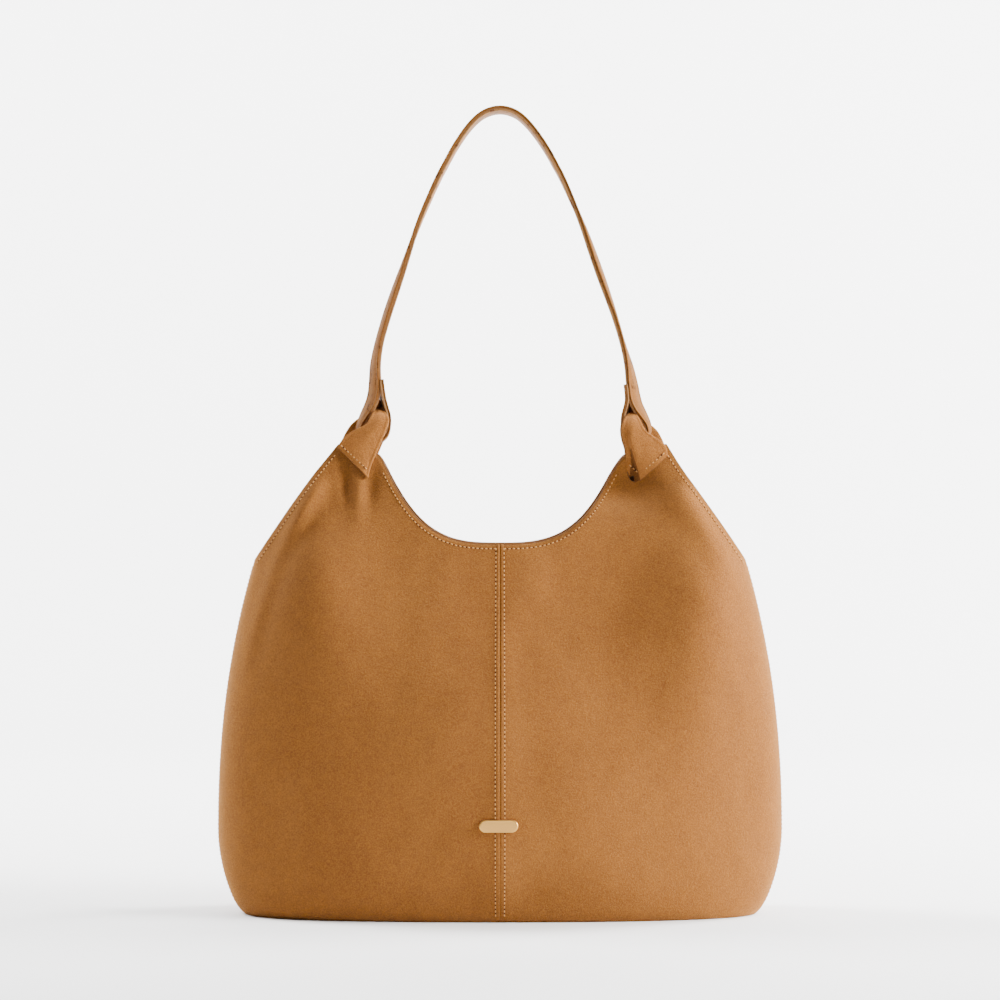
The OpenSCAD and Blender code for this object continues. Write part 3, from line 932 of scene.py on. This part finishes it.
# the strap's middle line as seen from the front, from the top of the arch, round the loop, to the short end
LEFT = [(0, 590), (-11.5, 587), (-21.5, 578.6), (-31.8, 564.3), (-40, 549.6), (-47.5, 534.9), (-60.2, 505.4),
        (-70.4, 476), (-80.6, 446.5), (-85.2, 431.8), (-89.2, 417.1), (-91.6, 402.4), (-92.0, 387.6),
        (-92.9, 380), (-95.2, 372.9), (-99.1, 365.6), (-102.6, 358.2), (-103.3, 352), (-100, 347.2),
        (-94.5, 345.4), (-88.6, 346.6), (-84, 350.4), (-81.8, 357), (-82.2, 364.3), (-84.3, 370.5),
        (-86.2, 377), (-87.3, 384.5), (-87.7, 391.5)]
RIGHT = [(0, 590), (11.5, 587), (21.3, 578.6), (32, 564.3), (40.5, 549.6), (48, 534.9), (60.6, 505.4),
         (71.2, 476), (81.6, 446.5), (86.3, 431.8), (90.6, 417.1), (94.6, 402.4), (97.2, 387.6),
         (98.4, 380.3), (100.5, 373), (104.2, 366.4), (108.4, 358.6), (109, 352.4), (106, 348),
         (100.5, 346), (95.6, 347), (92, 350.6), (90.7, 357), (91.2, 364), (93.2, 370.4),
         (94.4, 376), (94.0, 382), (92.9, 388)]


def strap_frames():
    """Along the strap from end to end: its middle line, its directions across and inwards, and its width."""
    (line,) = resample(spline(np.array(LEFT[::-1] + RIGHT[1:], float), 8), 1.6)
    length = np.concatenate([[0], np.cumsum(np.linalg.norm(np.diff(line, axis=0), axis=1))])
    way = unit(np.gradient(line, axis=0))
    inwards = np.stack([way[:, 1], np.zeros(len(line)), -way[:, 0]], -1)
    across = np.tile([0.0, 1.0, 0.0], (len(line), 1))
    # a slow twist, and a small turn of each end
    part = length / length[-1]
    # (degrees, place along the strap, spread)
    turns = [(9, 0.02, 0.03), (-23, 0.145, 0.048), (-10, 0.25, 0.07), (-9, 0.72, 0.07), (-24, 0.866, 0.042),
             (9, 0.98, 0.03)]
    twist = np.radians(sum(angle * bell(part - place, spread) for angle, place, spread in turns))
    cos, sin = np.cos(twist)[:, None], np.sin(twist)[:, None]
    turned_across = across * cos + inwards * sin
    turned_in = inwards * cos - across * sin
    width = np.interp(line[:, 1], [395, 430], [19.5, 24])
    centre = np.stack([line[:, 0], np.zeros(len(line)), line[:, 1]], -1)
    return centre, turned_across, turned_in, width


STRAP_LINE, STRAP_ACROSS, STRAP_IN, STRAP_WIDTH = strap_frames()


def layer_section(width, low, high, crease):
    """Cross-section of a layer: across the strap, and through its thickness."""
    half, middle, radius = width / 2, (low + high) / 2, (high - low) / 2
    angles = np.linspace(0, math.pi, 7)
    right = [(half - radius * 0.6 * (1 - math.sin(angle)), middle - radius * math.cos(angle))
             for angle in angles]
    left = [(-x, y) for x, y in right[::-1]]
    if crease:
        # a creased line beside each edge, on the face that shows
        cut = [(half - 2.0, 0), (half - 2.45, 0.42), (half - 2.9, 0)]
        face = low if crease < 0 else high
        line = [(x, face - crease * depth) for x, depth in cut]
        mirror = [(-x, y) for x, y in line[::-1]]
        if crease < 0:
            return np.array(right + left + mirror[::-1] + line[::-1])
        return np.array(right + line + mirror + left)
    return np.array(right + left)


def strap_layer(name, low, high, grow, material, crease=0):
    """One layer of the strap, whose ends stay in the bag's loops."""
    # the ends are pared thinner than the rest
    thin = np.interp(STRAP_LINE[:, 2], [392, 430], [0.78, 1.0])
    sections = np.array([layer_section(width + grow, low * part, high * part, crease)
                         for width, part in zip(STRAP_WIDTH, thin)])
    obj = sweep(name, STRAP_LINE, STRAP_ACROSS, STRAP_IN, sections, material,
                mats=[material, EDGE], cap_mat=1)
    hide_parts(name)
    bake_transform(obj)


strap_layer("strap_outer", -2.0, -0.35, 0.0, SUEDE_STRAP, crease=-1)
strap_layer("strap_core", -0.36, 0.36, -0.7, CORE)
strap_layer("strap_lining", 0.35, 1.9, -0.3, CREAM, crease=1)

# ------------------------------------------------------------------ fittings that keep their CAD shape


def dress(name, material, bevel=0.0):
    """Gives a CAD node its material, and a fine bevel where one is asked for, in metres."""
    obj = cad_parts[name]
    obj.data.materials.clear()
    obj.data.materials.append(material)
    if bevel:
        rounding = obj.modifiers.new("bevel", "BEVEL")
        rounding.width = bevel
        rounding.segments = 3
        rounding.limit_method = "ANGLE"
        rounding.angle_limit = math.radians(40)


def ornament_bar():
    """A rounded bar across the centre seam, with softened edges."""
    height, end_radius, half_flat, shift, count = 71.0, 4.5, 9.4, -1.0, 48
    face_y = skin(0.03, height, 1, -1)[0][1]
    angle = np.linspace(0, 2 * math.pi, count + 1)[:-1]
    plan_x = np.cos(angle) * end_radius + np.sign(np.cos(angle)) * half_flat + shift
    plan_z = np.sin(angle) * end_radius
    # (depth from the suede, share of the full outline)
    layers = [(0.6, 1.0), (-1.3, 1.0), (-1.75, 0.965), (-1.9, 0.90)]
    points = [np.stack([plan_x * part, np.full(count, face_y + depth), height + plan_z * part], -1)
              for depth, part in layers]
    faces = grid_faces(len(layers), count, 0, False, True).tolist()
    faces += [list(range(count)), list(range(3 * count, 4 * count))]
    bar = add_mesh("ornament_bar", np.concatenate(points), faces, BRASS, smooth=False)
    fix_normals(bar)
    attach(bar, "bag")
    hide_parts("ornament_bar")


ornament_bar()
for name in ("snap_socket", "snap_stud", "zip_teeth_upper", "zip_teeth_lower", "zip_stops", "zip_slider",
             "zip_puller"):
    dress(name, GOLD, 0.0002)
for name in ("snap_patch_front", "snap_patch_back", "zip_welt"):
    dress(name, SUEDE, 0.0003)
dress("zip_pocket", LINING)


def pocket(name, low, high, near, far, material):
    """A layer of cloth or suede inside the front, between two heights and two depths."""
    xs, zs = np.meshgrid(np.linspace(-75, 75, 61), np.linspace(low, high, 25))
    sides = []
    for depth in (near, far):
        left, right = (from_xz(xs, zs, side, -1, -depth)[0] for side in (-1, 1))
        points = np.where((xs < 0)[..., None], left, right)
        sides.append(points)
    obj = sheet(name, sides[1], sides[0], material, "bag", flip=True)
    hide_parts(name)


pocket("slip_pocket", 98, 198, 3.0, 3.8, LINING)
pocket("slip_pocket_hem", 186, 198.6, 3.9, 4.9, SUEDE)
for name in ("zip_tape_upper", "zip_tape_lower"):
    dress(name, TAPE)
dress("base_board", BOARD)

# ------------------------------------------------------------------ stage


def sweep_floor():
    """A floor that curves up into a back wall."""
    bend_y, bend_radius = 1500.0, 900.0
    profile = [(-1900.0, 0.0), (bend_y, 0.0)]
    profile += [(bend_y + bend_radius * math.sin(angle), bend_radius * (1 - math.cos(angle)))
                for angle in np.linspace(0.1, math.pi / 2, 14)]
    profile += [(bend_y + bend_radius, 6000.0)]
    points = [(x, y, z - 0.05) for x in (-2000.0, 2000.0) for y, z in profile]
    count = len(profile)
    faces = [[i, i + 1, count + i + 1, count + i] for i in range(count - 1)]
    add_mesh("floor", points, faces, stage_material())


def dome():
    """A pale dome far outside the floor; it is only a background and gives no light."""
    radius, rows, columns = 9000.0, 25, 48
    rise = np.linspace(-1.5, 1.5, rows)[:, None]
    turn = np.linspace(0, 2 * math.pi, columns + 1)[None, :-1]
    points = radius * np.stack([np.cos(rise) * np.cos(turn), np.cos(rise) * np.sin(turn),
                                np.sin(rise) + 0 * turn], -1)
    faces = grid_faces(rows, columns, 0, False, True).tolist()
    obj = add_mesh("dome", points.reshape(-1, 3), faces, dome_material())
    for ray in ("diffuse", "glossy", "transmission", "volume_scatter", "shadow"):
        setattr(obj, "visible_" + ray, False)


sweep_floor()
dome()
